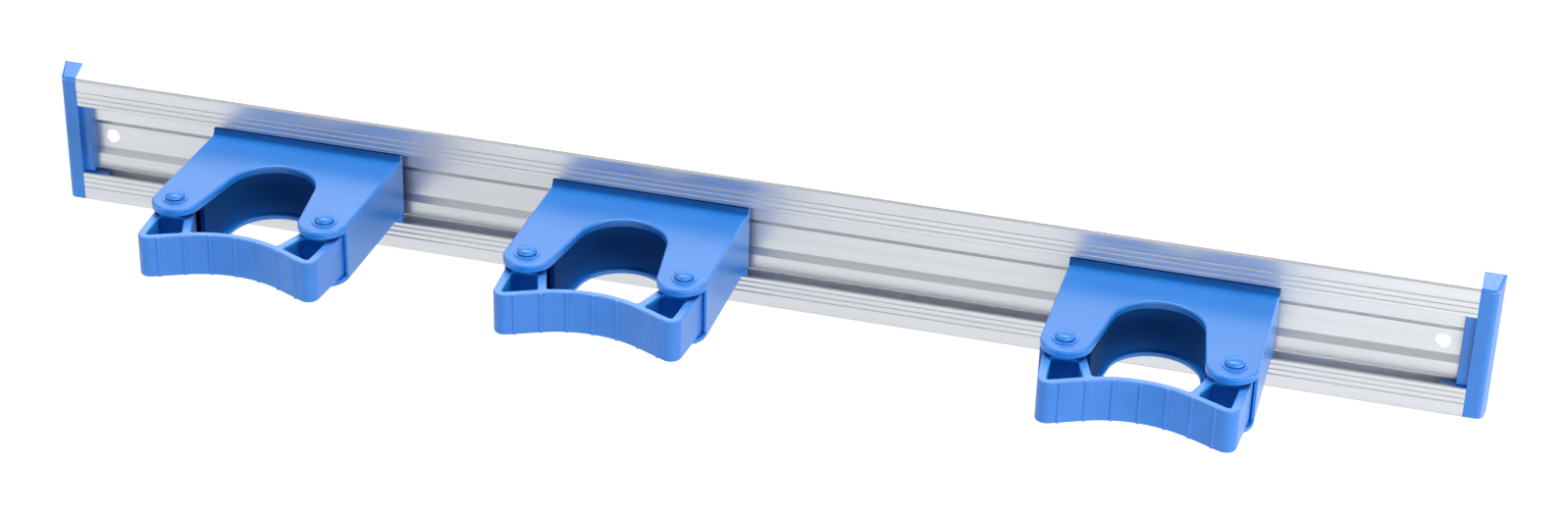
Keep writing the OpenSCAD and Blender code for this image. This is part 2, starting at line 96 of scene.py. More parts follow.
def srgb(r, g, b):
    """A colour given as the 0 to 255 values that a screen shows, as linear RGBA."""
    def linear(v):
        v /= 255
        return v / 12.92 if v <= 0.04045 else ((v + 0.055) / 1.055) ** 2.4
    return (linear(r), linear(g), linear(b), 1)


class Surface:
    """A material under construction: its node tree, its shader and short ways to add nodes."""

    def __init__(self, name):
        self.material = bpy.data.materials.new(name)
        self.material.use_nodes = True
        self.tree = self.material.node_tree
        self.shader = self.tree.nodes["Principled BSDF"]
        self.place = self.add("ShaderNodeTexCoord").outputs["Object"]

    def add(self, kind, **settings):
        """A new node with its settings."""
        node = self.tree.nodes.new(kind)
        for key, value in settings.items():
            setattr(node, key, value)
        return node

    def link(self, out, into):
        """Joins an output to an input."""
        self.tree.links.new(out, into)

    def set(self, **values):
        """Sets the shader's sockets. A low line in a keyword stands for a space in the socket's name."""
        for key, value in values.items():
            self.shader.inputs[key.replace("_", " ")].default_value = value

    def noise(self, size_mm, stretch=(1, 1, 1), turn_deg=0, detail=3.0, roughness=0.5):
        """Noise whose blotches are about size_mm across, stretched along the axes and turned about Z."""
        mapping = self.add("ShaderNodeMapping")
        mapping.inputs["Rotation"].default_value = (0, 0, radians(turn_deg))
        mapping.inputs["Scale"].default_value = [1 / (size_mm * MM * s) for s in stretch]
        texture = self.add("ShaderNodeTexNoise")
        texture.inputs["Scale"].default_value = 1
        texture.inputs["Detail"].default_value = detail
        texture.inputs["Roughness"].default_value = roughness
        self.link(self.place, mapping.inputs["Vector"])
        self.link(mapping.outputs["Vector"], texture.inputs["Vector"])
        return texture.outputs["Fac"]

    def spread(self, source, low, high, start=0.3, end=0.7):
        """Turns noise between start and end into a number between low and high."""
        node = self.add("ShaderNodeMapRange")
        node.inputs["From Min"].default_value = start
        node.inputs["From Max"].default_value = end
        node.inputs["To Min"].default_value = low
        node.inputs["To Max"].default_value = high
        self.link(source, node.inputs["Value"])
        return node.outputs["Result"]

    def colours(self, source, first, second):
        """Turns noise into a colour between two."""
        ramp = self.add("ShaderNodeValToRGB")
        ramp.color_ramp.elements[0].position = 0.3
        ramp.color_ramp.elements[0].color = first
        ramp.color_ramp.elements[1].position = 0.7
        ramp.color_ramp.elements[1].color = second
        self.link(source, ramp.inputs["Fac"])
        return ramp.outputs["Color"]

    def tint(self, colour, other, share):
        """Mixes another colour into a colour, by a share that comes from a texture."""
        mix = self.add("ShaderNodeMix", data_type="RGBA")
        self.link(share, mix.inputs["Factor"])
        self.link(colour, mix.inputs["A"])
        mix.inputs["B"].default_value = other
        return mix.outputs["Result"]

    def bump(self, source, height_mm, below=None):
        """Turns noise into relief of a height, laid over another relief if there is one."""
        node = self.add("ShaderNodeBump")
        node.inputs["Distance"].default_value = height_mm * MM
        self.link(source, node.inputs["Height"])
        if below:
            self.link(below, node.inputs["Normal"])
        return node.outputs["Normal"]


def anodised_aluminium():
    """Satin extrusion: drawn streaks along X, a fine etched grain and faint clouds in the oxide."""
    s = Surface("anodised_aluminium")
    streaks = s.noise(0.3, stretch=(400, 1, 1), detail=2)
    bands = s.noise(2.5, stretch=(120, 1, 1), detail=3)
    clouds = s.noise(35, stretch=(3, 1, 1), detail=4)
    grain = s.noise(0.12)
    base = s.colours(clouds, srgb(197, 199, 203), srgb(204, 206, 209))
    s.link(s.tint(base, srgb(188, 191, 197), s.spread(bands, 0, 0.6)), s.shader.inputs["Base Color"])
    s.link(s.spread(streaks, 0.30, 0.40), s.shader.inputs["Roughness"])
    s.link(s.bump(streaks, 0.006, below=s.bump(grain, 0.004)), s.shader.inputs["Normal"])
    s.set(Metallic=1.0)
    return s.material


def dull_lightened_aluminium():
    """The dull oxide inside the slots, in a pale colour that is painted light in the slots."""
    s = Surface("dull_slot_aluminium_painted_light")
    streaks = s.noise(0.5, stretch=(200, 1, 1), detail=2)
    clouds = s.noise(12, stretch=(4, 1, 1), detail=4)
    # Painted light: a paler colour than the rail's outside lightens the shaded slots
    s.link(s.colours(clouds, srgb(236, 237, 239), srgb(243, 244, 245)), s.shader.inputs["Base Color"])
    s.link(s.spread(streaks, 0.55, 0.68), s.shader.inputs["Roughness"])
    s.link(s.bump(streaks, 0.01), s.shader.inputs["Normal"])
    s.set(Metallic=0.1)
    return s.material


def satin_plastic(name, shine=0.5, shaded_corner=False):
    """Blue moulding: spark-eroded mould texture, faint flow clouds and a few light scuffs. On a housing
    painted shade darkens the colour towards the corner at the rear of the top plate, under the rail's lip,
    where the finish also shines less. The caps shine a little more."""
    s = Surface(name)
    clouds = s.noise(18, detail=4)
    texture = s.noise(0.35, detail=2)
    scuffs = s.noise(0.5, stretch=(40, 1, 1), turn_deg=12, detail=2)
    base = s.colours(clouds, srgb(22, 116, 206), srgb(28, 123, 213))
    colour = s.tint(base, srgb(96, 156, 224), s.spread(scuffs, 0, 0.5, 0.70, 0.80))
    if shaded_corner:
        place = s.add("ShaderNodeSeparateXYZ")
        s.link(s.place, place.inputs["Vector"])
        rear = s.spread(place.outputs["Y"], 0, 1, *(v * MM for v in CORNER_SHADE_Y_MM))
        corner = s.add("ShaderNodeMath", operation="MULTIPLY")
        s.link(rear, corner.inputs[0])
        s.link(s.spread(place.outputs["Z"], 0, 1, *(v * MM for v in CORNER_SHADE_Z_MM)), corner.inputs[1])
        # Painted shade: a darker blue towards the corner under the rail's lip
        colour = s.tint(colour, srgb(20, 84, 155), s.spread(corner.outputs["Value"], 0, 0.35, 0, 1))
        s.link(s.spread(corner.outputs["Value"], shine, 0.2, 0, 1), s.shader.inputs["Specular IOR Level"])
    s.link(colour, s.shader.inputs["Base Color"])
    s.link(s.spread(texture, 0.28, 0.36), s.shader.inputs["Roughness"])
    s.link(s.bump(texture, 0.006), s.shader.inputs["Normal"])
    s.set(IOR=1.55, Specular_IOR_Level=shine)
    return s.material


def dull_shaded_plastic():
    """The housing's inner faces: the same moulding with a coarse, unpolished finish that hardly shines, in a
    darker blue that is painted shade.
    """
    s = Surface("dull_blue_plastic_painted_shade")
    clouds = s.noise(14, detail=4)
    texture = s.noise(0.5, detail=4)
    # Painted shade: a darker blue than the satin moulding, for the throat and the corner under the lip
    s.link(s.colours(clouds, srgb(20, 84, 155), srgb(26, 92, 163)), s.shader.inputs["Base Color"])
    s.link(s.spread(texture, 0.60, 0.72), s.shader.inputs["Roughness"])
    s.link(s.bump(texture, 0.02), s.shader.inputs["Normal"])
    s.set(IOR=1.5, Specular_IOR_Level=0.1)
    return s.material


def soft_rubber(name, first, second, shine):
    """Blue gripper: a softer sheen, a finer skin and dusty clouds. Its cells shine less, its rims more, and
    both are given lighter colours as painted light.
    """
    s = Surface(name)
    clouds = s.noise(9, detail=5)
    skin = s.noise(0.2, detail=3)
    s.link(s.colours(clouds, first, second), s.shader.inputs["Base Color"])
    s.link(s.spread(skin, 0.31, 0.41), s.shader.inputs["Roughness"])
    s.link(s.bump(skin, 0.008), s.shader.inputs["Normal"])
    s.set(IOR=1.5, Specular_IOR_Level=shine)
    return s.material


aluminium = anodised_aluminium()
slot_aluminium_lightened = dull_lightened_aluminium()
plastic = satin_plastic("satin_blue_plastic")
cap_plastic = satin_plastic("satin_blue_cap_plastic", shine=0.7)
# The housings get painted shade in the corner under the rail's lip
housing_plastic = satin_plastic("satin_blue_housing_plastic_painted_shade", shaded_corner=True)
# Painted shade in a darker blue, on the throats and under the rail's lip
inner_plastic_shaded = dull_shaded_plastic()
rubber = soft_rubber("soft_blue_rubber", srgb(44, 120, 211), srgb(52, 128, 218), 0.6)
# Painted light: the cells' walls and the rims' top and bottom faces get lighter blues than the outer rubber
cell_rubber_lightened = soft_rubber("dull_blue_rubber_painted_light", srgb(48, 150, 230), srgb(56, 157, 235), 0.1)
rim_rubber_lightened = soft_rubber("smooth_blue_rubber_painted_light", srgb(60, 134, 220), srgb(68, 142, 227), 1.0)


# Mesh work that all pieces share

SHARP_DEG = 32
WELD_MM = 0.002
FLAT_DEG = 0.5


def paint(piece, material):
    """Gives a piece one material alone."""
    piece.data.materials.clear()
    piece.data.materials.append(material)


def mark_sharp(work, flat=False):
    """Smooths the faces, unless they are to stay flat, and keeps edges sharp that turn by over SHARP_DEG."""
    for face in work.faces:
        face.smooth = not flat
    for edge in work.edges:
        edge.smooth = len(edge.link_faces) == 2 and edge.calc_face_angle(0) < radians(SHARP_DEG)


def even_shading(piece):
    """Shading that stays flat on flat faces and turns only in the rounds."""
    shading = piece.modifiers.new("even_shading", "WEIGHTED_NORMAL")
    shading.keep_sharp = True


def new_piece(work, name, *materials):
    """An object from a bmesh that closes on itself, with its faces turned outwards."""
    bmesh.ops.recalc_face_normals(work, faces=work.faces)
    mark_sharp(work)
    mesh = bpy.data.meshes.new(name)
    for material in materials:
        mesh.materials.append(material)
    work.to_mesh(mesh)
    work.free()
    piece = bpy.data.objects.new(name, mesh)
    bpy.context.scene.collection.objects.link(piece)
    even_shading(piece)
    return piece


def turned(angle):
    """Unit vector at an angle from +Y towards +X."""
    return Vector((sin(angle), cos(angle)))


# Rigid pieces: a copy of each CAD node with its edges rounded as moulding and drawing leave them

SHOULDER_R_MM = 0.8
EDGE_R_MM = 0.3
RING_EDGE_R_MM = 0.25
SEAT_REACH_MM = 4.5
RING_REACH_MM = 5.0
CAP_EDGE_R_MM = 0.9
FLANGE_EDGE_R_MM = 0.25
RAIL_CORNER_MM = 0.7
RAIL_EDGE_MM = 0.25
NEAR_MM = 0.01
FLANGE_REACH_MM = 3
RECESS_HALF_H_MM = 8
FINE_LINES_MM = (15.5, 21.5)
RAIL_CORNER_FROM_MM = 24
SLOT_HEIGHTS_MM = (-1.4, 7.6)
SLOT_DEPTHS_MM = (1.3, 6.9)


def rounded_copy(node, body, material, radius_mm, largest_mm, steps=3, inner=None, is_inner=None):
    """A copy of a CAD node, shown in its place. radius_mm gives each sharp edge's radius from its middle and
    faces. With one step the edges are chamfered and all faces stay flat. is_inner tells which faces get the
    inner finish."""
    piece = bpy.data.objects.new("skin_" + node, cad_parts[node].data.copy())
    bpy.context.scene.collection.objects.link(piece)
    piece.data.attributes.remove(piece.data.attributes["custom_normal"])
    work = bmesh.new()
    work.from_mesh(piece.data)
    bmesh.ops.remove_doubles(work, verts=work.verts, dist=WELD_MM * MM)
    bmesh.ops.dissolve_limit(work, angle_limit=radians(FLAT_DEG), verts=work.verts, edges=work.edges)
    mark_sharp(work, flat=steps == 1)
    weight = work.edges.layers.float.new("bevel_weight_edge")
    for edge in work.edges:
        if len(edge.link_faces) == 2 and edge.calc_face_angle_signed(0) > radians(SHARP_DEG):
            middle = (edge.verts[0].co + edge.verts[1].co) / 2 / MM
            edge[weight] = radius_mm(middle, [face.normal for face in edge.link_faces]) / largest_mm
    work.to_mesh(piece.data)
    work.free()
    rounding = piece.modifiers.new("rounding", "BEVEL")
    rounding.limit_method = "WEIGHT"
    rounding.width = largest_mm * MM
    rounding.segments = steps
    rounding.use_clamp_overlap = False
    rounding.loop_slide = False
    paint(piece, material)
    if inner:
        piece.data.materials.append(inner)
        for face in piece.data.polygons:
            face.material_index = int(is_inner(face.center / MM, face.normal))
    if steps > 1:
        even_shading(piece)
    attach(piece, body)
    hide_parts(node)
    return piece


def faces_up(normals):
    """Whether an edge belongs to a face that looks up."""
    return any(n.z > 0.9 for n in normals)


def housing_radius(holder_x):
    """Radii on a housing: a soft shoulder round the top plate, small rounds elsewhere, none in pin seats."""
    def radius(middle, normals):
        x = middle.x - holder_x
        y = middle.y + RAIL_DEPTH_MM
        from_pin = hypot(abs(x) - PIN_MM.x, y - PIN_MM.y)
        if from_pin < SEAT_REACH_MM:
            return 0
        if from_pin < RING_REACH_MM:
            return RING_EDGE_R_MM
        if abs(middle.z - PLATE_TOP_MM) < NEAR_MM and faces_up(normals):
            return SHOULDER_R_MM
        return EDGE_R_MM if y < ROUNDED_TO_Y_MM else 0
    return radius


def is_dull_and_shaded(holder_x):
    """The throat's wall between the plates, clear of the side walls, and the corner under the rail's lip: the
    faces painted with shade.
    """
    def test(middle, normal):
        x = middle.x - holder_x
        y = middle.y + RAIL_DEPTH_MM
        under_lip = y > PLATE_FILLET_Y_MM and middle.z > PLATE_TOP_MM + NEAR_MM
        upright = abs(normal.z) < 0.3
        in_throat = abs(x) < THROAT_MM.x and THROAT_MM.y < y < THROAT_REAR_Y_MM
        between_plates = CAVITY_MM[0] < middle.z < CAVITY_MM[1]
        return under_lip or upright and in_throat and between_plates
    return test


def cap_radius(middle, normals):
    """Radii on an end cap: soft along its top and bottom, small on the flange, none against the rail."""
    out = abs(middle.x) - RAIL_END_MM
    if out < NEAR_MM:
        on_flange = out < -0.5 and middle.y < FLANGE_REACH_MM - RAIL_DEPTH_MM
        return FLANGE_EDGE_R_MM if on_flange else 0
    if any(abs(n.z) > 0.8 for n in normals) and middle.y < -NEAR_MM:
        return CAP_EDGE_R_MM
    return 0


def rail_radius(middle, normals):
    """Chamfers on the rail's long edges, but not on fine lines, the seats' inner edges and the cut ends."""
    if any(abs(n.x) > 0.9 for n in normals):
        return 0
    height = abs(middle.z)
    on_front = middle.y < -RAIL_DEPTH_MM + NEAR_MM
    on_fine_line = on_front and FINE_LINES_MM[0] < height < FINE_LINES_MM[1]
    if on_fine_line or height < RECESS_HALF_H_MM:
        return 0
    return RAIL_CORNER_MM if height > RAIL_CORNER_FROM_MM and on_front else RAIL_EDGE_MM


def in_hook_slot(middle, normal):
    """Faces of the two hook slots, behind the lips and in front of the rear wall."""
    depth = middle.y + RAIL_DEPTH_MM
    height = abs(middle.z) - LIP_EDGE_MM
    beside_lip = SLOT_HEIGHTS_MM[0] < height < SLOT_HEIGHTS_MM[1]
    behind_lip = SLOT_DEPTHS_MM[0] < depth < SLOT_DEPTHS_MM[1]
    return beside_lip and behind_lip and abs(normal.x) < 0.5


# Pins: turned about their own axis, with a flat lower head and a button above that is pinched in at its foot

HEAD_R_MM = 3.2
SHAFT_R_MM = 2.3
PIN_BOTTOM_MM = -10.2
HEAD_SINK_MM = 0.4
BOSS_TOP_MM = 12.6
BUTTON_R_MM = 3.5
BUTTON_FOOT_MM = 13.0
BUTTON_RISE_MM = 1.8
BUTTON_FULLNESS = 0.86
BUTTON_STEPS = 12
FOOT_CHAMFER_MM = 0.15
TURN_STEPS = 64

# Rings of the neck below the button: change from the head's radius, and height over the raised ring
NECK_MM = [(0, -0.3), (-0.2, -0.05), (-0.15, 0.15)]


def pin_profile():
    """Radius and height of each ring, from the lower head up to the button."""
    seat = PLATE_TOP_MM - HEAD_SINK_MM
    points = [
        (HEAD_R_MM - FOOT_CHAMFER_MM, PIN_BOTTOM_MM),
        (HEAD_R_MM, PIN_BOTTOM_MM + FOOT_CHAMFER_MM),
        (HEAD_R_MM, PIN_BOTTOM_MM + HEAD_SINK_MM),
        (SHAFT_R_MM, PIN_BOTTOM_MM + HEAD_SINK_MM),
        (SHAFT_R_MM, seat),
        (HEAD_R_MM, seat),
    ]
    points += [(HEAD_R_MM + wider, BOSS_TOP_MM + higher) for wider, higher in NECK_MM]
    for i in range(BUTTON_STEPS):
        angle = i / BUTTON_STEPS * pi / 2
        radius = BUTTON_R_MM * cos(angle) ** BUTTON_FULLNESS
        points.append((radius, BUTTON_FOOT_MM + BUTTON_RISE_MM * sin(angle) ** BUTTON_FULLNESS))
    return points


def turned_pin(side, holder):
    """The left pin of a holder, for side -1, or its right one, for side 1."""
    name = "left" if side < 0 else "right"
    centre = Vector((HOLDER_X_MM[holder] + side * PIN_MM.x, PIN_MM.y - RAIL_DEPTH_MM, 0))
    work = bmesh.new()
    rings = []
    for radius, height in pin_profile():
        places = [turned(2 * pi * i / TURN_STEPS) * radius for i in range(TURN_STEPS)]
        rings.append([work.verts.new((centre + Vector((p.x, p.y, height))) * MM) for p in places])
    for low, high in zip(rings, rings[1:]):
        for i in range(TURN_STEPS):
            work.faces.new((low[i - 1], low[i], high[i], high[i - 1]))
    work.faces.new(rings[0])
    top = work.verts.new((centre + Vector((0, 0, BUTTON_FOOT_MM + BUTTON_RISE_MM))) * MM)
    for i in range(TURN_STEPS):
        work.faces.new((rings[-1][i - 1], rings[-1][i], top))
    piece = new_piece(work, f"turned_pin_{name}_{holder}", plastic)
    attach(piece, f"holder_{holder}")
    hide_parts(f"pin_{name}_{holder}")


# Grippers: each half is one moulding of an ear and half a web, outlined as in the CAD, with rounded rims

WEB_FRONT_MM = 67.8
WEB_T_MM = 2.8
WEB_R_MM = 42
EAR_HALF_W_MM = 34.5
CORNER_R_MM = 4
BARREL_R_MM = 6.9
EAR_WALL_MM = 3.2
ROOT_X_MM = 16.7
FLAT_X_MM = 18
CELL_BACK_MM = 5.8
BORE_R_MM = 2.38
RIB_COUNT = 7
RIB_PITCH_MM = 9.2
RIB_W_MM = 1.7
RIB_H_MM = 0.5
GRIPPER_BOTTOM_MM = -8.35
GRIPPER_H_MM = 16.1
RIM_R_MM = 0.45
RIM_STEPS = 3
REAR_STEPS = 20
FRONT_STEP_MM = 0.9
RIB_STEPS = 12
ROOT_FILLET_MM = 1.2
CELL_FILLET_MM = 0.9
REAR_START_DEG = 3

# A gripper's finishes, by their place in its list of materials, and those of its outer, cell and bore walls
SKIN, CELL, RIM = 0, 1, 2
WALL_FINISHES = (SKIN, CELL, SKIN)

WEB_CENTRE = Vector((0, -WEB_FRONT_MM - WEB_R_MM))
WEB_REAR_R_MM = WEB_R_MM + WEB_T_MM
FLAT_ANGLE = asin(FLAT_X_MM / WEB_R_MM)
FLAT_OUT = turned(FLAT_ANGLE)
FLAT_ALONG = Vector((cos(FLAT_ANGLE), -sin(FLAT_ANGLE)))
FLAT_POINT = WEB_CENTRE + WEB_R_MM * FLAT_OUT
CORNER_RUN = (EAR_HALF_W_MM - CORNER_R_MM - FLAT_POINT.x - FLAT_OUT.x * CORNER_R_MM) / FLAT_ALONG.x
CORNER_CENTRE = FLAT_POINT + FLAT_ALONG * CORNER_RUN + FLAT_OUT * CORNER_R_MM
EAR_ROOT = WEB_CENTRE + WEB_REAR_R_MM * turned(asin(ROOT_X_MM / WEB_REAR_R_MM))


def heading(vector):
    """Angle of a vector from +X."""
    return atan2(vector.y, vector.x)


def arc(centre, radius, first, last, step_mm=0.7):
    """Points of an arc between two angles, both ends included."""
    count = max(2, round(abs(last - first) * radius / step_mm))
    angles = [first + (last - first) * i / count for i in range(count + 1)]
    return [centre + radius * Vector((cos(a), sin(a))) for a in angles]


def shared_normal(c1, r1, c2, r2):
    """Unit normal of the line that touches two circles on their left, seen along the way from the first."""
    way = c2 - c1
    angle = heading(way) + acos((r1 - r2) / way.length)
    return Vector((cos(angle), sin(angle)))


OUTER_NORMAL = shared_normal(PIN_MM, BARREL_R_MM, CORNER_CENTRE, CORNER_R_MM)
TO_ROOT = EAR_ROOT - PIN_MM
THROAT_ANGLE = heading(TO_ROOT) - acos(BARREL_R_MM / TO_ROOT.length)
THROAT_NORMAL = Vector((cos(THROAT_ANGLE), sin(THROAT_ANGLE)))


def front_point(s, out=0.0):
    """Point at distance s along the gripper's front from its middle, moved out of the rubber by out."""
    bend = FLAT_ANGLE * WEB_R_MM
    if s < bend:
        return WEB_CENTRE + (WEB_R_MM - out) * turned(s / WEB_R_MM)
    return FLAT_POINT + FLAT_ALONG * (s - bend) - FLAT_OUT * out


def front_with_ribs():
    """The gripper's front from its middle to the corner round, with half the middle rib and the side ribs."""
    end = FLAT_ANGLE * WEB_R_MM + CORNER_RUN
    bump_r = RIB_W_MM / 2
    sink = bump_r - RIB_H_MM
    half = (bump_r ** 2 - sink ** 2) ** 0.5
    places = [i * RIB_PITCH_MM for i in range((RIB_COUNT + 1) // 2)]
    points = []
    s = 0.0
    for rib in places:
        while s < rib - half - 0.3:
            points.append(front_point(s))
            s += FRONT_STEP_MM
        for i in range(RIB_STEPS + 1):
            along = -half + 2 * half * i / RIB_STEPS
            if rib + along > -0.001:
                rise = max((bump_r ** 2 - along ** 2) ** 0.5 - sink, 0)
                points.append(front_point(max(rib + along, 0), rise))
        s = rib + half + 0.6
    while s < end - 0.3:
        points.append(front_point(s))
        s += FRONT_STEP_MM
    return points


def corner_fillet(before, corner, after, radius):
    """Arc that rounds a corner between two straight neighbours."""
    a = (before - corner).normalized()
    b = (after - corner).normalized()
    half = acos(max(-1, min(1, a.dot(b)))) / 2
    centre = corner + (a + b).normalized() * radius / sin(half)
    first = heading(corner + a * radius / tan(half) - centre)
    last = heading(corner + b * radius / tan(half) - centre)
    turn = (last - first + pi) % (2 * pi) - pi
    return arc(centre, radius, first, first + turn, step_mm=0.35)


def gripper_outline():
    """Outline of the right half gripper, anticlockwise seen from above, from the middle of the front."""
    points = front_with_ribs()
    points += arc(CORNER_CENTRE, CORNER_R_MM, heading(-FLAT_OUT), heading(OUTER_NORMAL))
    points += arc(PIN_MM, BARREL_R_MM, heading(OUTER_NORMAL), THROAT_ANGLE % (2 * pi))
    root_angle = asin(ROOT_X_MM / WEB_REAR_R_MM)
    touch = PIN_MM + BARREL_R_MM * THROAT_NORMAL
    reach = root_angle - radians(REAR_START_DEG)
    rear_next = WEB_CENTRE + WEB_REAR_R_MM * turned(reach)
    points += corner_fillet(touch, EAR_ROOT, rear_next, ROOT_FILLET_MM)
    shares = [1 - i / REAR_STEPS for i in range(REAR_STEPS + 1)]
    points += [WEB_CENTRE + WEB_REAR_R_MM * turned(reach * share) for share in shares]
    return points


def cell_outline():
    """Outline of the ear's hollow cell, clockwise seen from above, with rounded corners."""
    outer = PIN_MM + (BARREL_R_MM - EAR_WALL_MM) * OUTER_NORMAL
    outer_way = Vector((OUTER_NORMAL.y, -OUTER_NORMAL.x))
    throat = PIN_MM + (BARREL_R_MM - EAR_WALL_MM) * THROAT_NORMAL
    throat_way = Vector((-THROAT_NORMAL.y, THROAT_NORMAL.x))
    back = Vector((0, PIN_MM.y - CELL_BACK_MM))
    front = FLAT_POINT + WEB_T_MM * FLAT_OUT
    across = Vector((1, 0))

    def meet(p, way, q, other):
        far = 100
        return intersect_line_line_2d(p - way * far, p + way * far, q - other * far, q + other * far)

    corners = [
        meet(throat, throat_way, back, across),
        meet(outer, outer_way, back, across),
        meet(outer, outer_way, front, FLAT_ALONG),
        meet(throat, throat_way, front, FLAT_ALONG),
    ]
    points = []
    for i, corner in enumerate(corners):
        points += corner_fillet(corners[i - 1], corner, corners[(i + 1) % 4], CELL_FILLET_MM)
    return points


def bore_outline():
    """Outline of the pin's bore, clockwise seen from above."""
    return arc(PIN_MM, BORE_R_MM, 2 * pi, 0)[:-1]


def inset(points, amount, seam_x=None):
    """The loop moved by an amount to the left of its way round. An edge that lies on the seam stays on it."""
    moved = []
    count = len(points)
    for i in range(count):
        before, here, after = points[i - 1], points[i], points[(i + 1) % count]
        lines = []
        for a, b in ((before, here), (here, after)):
            way = (b - a).normalized()
            on_seam = seam_x is not None and abs(a.x - seam_x) < 1e-4 and abs(b.x - seam_x) < 1e-4
            lines.append((Vector((-way.y, way.x)), 0 if on_seam else amount))
        (n1, d1), (n2, d2) = lines
        cross = n1.x * n2.y - n1.y * n2.x
        if abs(cross) < 0.02:
            moved.append(here + (n1 * d1 + n2 * d2) / 2)
        else:
            moved.append(here + Vector((d1 * n2.y - d2 * n1.y, d2 * n1.x - d1 * n2.x)) / cross)
    return moved


def web_cuts(outline):
    """Pairs of indices, front and rear, of the outline's points that face each other across the web."""
    def web_angle(point):
        return atan2(point.x - WEB_CENTRE.x, point.y - WEB_CENTRE.y)

    cuts = []
    for rear in range(len(outline) - 1 - REAR_STEPS, len(outline)):
        angle = web_angle(outline[rear])
        front = next(i for i, point in enumerate(outline) if web_angle(point) > angle - 1e-6)
        cuts.append((front, rear))
    return cuts


def close_loop(work, outline, holes=()):
    """Fills an outline of verts, apart from its holes, with triangles in the rims' finish."""
    loops = [outline, *holes]
    verts = [v for loop in loops for v in loop]
    for triangle in tessellate_polygon([[v.co / MM for v in loop] for loop in loops]):
        face = work.faces.new([verts[i] for i in triangle])
        face.material_index = RIM


def half_gripper(side, holder):
    """One closed moulding: levels of the outlines, drawn in at both rims, joined by walls. The rims' flat
    faces are cut into short strips along the web."""
    loops = [(gripper_outline(), 0), (cell_outline(), None), (bore_outline(), None)]
    rim = [(i / RIM_STEPS) * pi / 2 for i in range(RIM_STEPS + 1)]
    levels = [(RIM_R_MM * (1 - sin(a)), RIM_R_MM * (1 - cos(a))) for a in rim]
    top = GRIPPER_H_MM
    levels += [(drawn_in, top - height) for drawn_in, height in reversed(levels)]
    work = bmesh.new()
    rings = []
    for drawn_in, height in levels:
        ring = []
        for points, seam_x in loops:
            flat = inset(points, drawn_in, seam_x) if drawn_in > 0 else points
            across = [HOLDER_X_MM[holder] + side * p.x for p in flat]
            places = [(x, p.y - RAIL_DEPTH_MM, GRIPPER_BOTTOM_MM + height) for x, p in zip(across, flat)]
            ring.append([work.verts.new(Vector(place) * MM) for place in places])
        rings.append(ring)
    for lower, upper in zip(rings, rings[1:]):
        for low, high, finish in zip(lower, upper, WALL_FINISHES):
            for i in range(len(low)):
                face = work.faces.new((low[i - 1], low[i], high[i], high[i - 1]))
                face.material_index = finish
    cuts = web_cuts(loops[0][0])
    for outline, cell, bore in (rings[0], rings[-1]):
        first_front, first_rear = cuts[0]
        close_loop(work, outline[first_front:first_rear + 1], (cell, bore))
        for (front, rear), (next_front, next_rear) in zip(cuts, cuts[1:]):
            close_loop(work, outline[next_front:front + 1] + outline[rear:next_rear + 1])
    name = "left" if side < 0 else "right"
    piece = new_piece(work, f"gripper_{name}_{holder}", rubber, cell_rubber_lightened, rim_rubber_lightened)
    ear, web = f"ear_{name}_{holder}", f"web_{name}_{holder}"
    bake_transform(piece)
    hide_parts(ear, web)


# Studio: white floor and world, six soft lights and a grey card over the camera

FLOOR_SIZE = 12
FLOOR_Z = -0.35
FLOOR_GREY = 0.3
FLOOR_WHITE = 0.85
WORLD_LEVEL = 0.1
WORLD_WHITE = 1
CARD_PLACE = (0.1, -1.40, 1.12)
CARD_SIZE = (4.4, 2.1)
CARD_LEVEL = 0.06
CARD_SHINE = 0.78

# Place and size in metres and power in watts of each soft light
LIGHTS = {
    "top_light": ((0, 0.08, 1.15), (1.6, 0.5), 18),
    "back_light": ((-0.5, 1.6, 0.95), (2.3, 0.8), 8.3),
    "key_light": ((0.8, -1.4, -0.02), (1.8, 0.36), 18.5),
    "right_light": ((1.7, -0.2, 0.05), (1.6, 0.5), 15.5),
    "left_light": ((-1.5, -0.9, 0), (1.6, 0.45), 11),
    "rear_light": ((0, 1.7, 0.05), (2.0, 0.6), 13),
}


def add_floor():
    """A pale floor that shades and keeps shadows, with white added where the camera, metal or glass sees it.
    From below it is clear."""
    bpy.ops.mesh.primitive_plane_add(size=FLOOR_SIZE, location=(0, 0, FLOOR_Z))
    floor = bpy.context.object
    floor.name = "floor"
    s = Surface("floor")
    paint(floor, s.material)
    s.set(Base_Color=(FLOOR_GREY, FLOOR_GREY, FLOOR_GREY, 1), Roughness=1.0, Specular_IOR_Level=0.0)
    path = s.add("ShaderNodeLightPath")
    seen = s.add("ShaderNodeMath", operation="MAXIMUM")
    s.link(path.outputs["Is Camera Ray"], seen.inputs[0])
    s.link(path.outputs["Is Glossy Ray"], seen.inputs[1])
    through = s.add("ShaderNodeMath", operation="MAXIMUM")
    s.link(seen.outputs["Value"], through.inputs[0])
    s.link(path.outputs["Is Transmission Ray"], through.inputs[1])
    level = s.add("ShaderNodeMath", operation="MULTIPLY")
    s.link(through.outputs["Value"], level.inputs[0])
    level.inputs[1].default_value = FLOOR_WHITE
    s.set(Emission_Color=(1, 1, 1, 1))
    s.link(level.outputs["Value"], s.shader.inputs["Emission Strength"])
    clear = s.add("ShaderNodeBsdfTransparent")
    geometry = s.add("ShaderNodeNewGeometry")
    sided = s.add("ShaderNodeMixShader")
    s.link(geometry.outputs["Backfacing"], sided.inputs["Fac"])
    s.link(s.shader.outputs["BSDF"], sided.inputs[1])
    s.link(clear.outputs["BSDF"], sided.inputs[2])
    s.link(sided.outputs["Shader"], s.tree.nodes["Material Output"].inputs["Surface"])


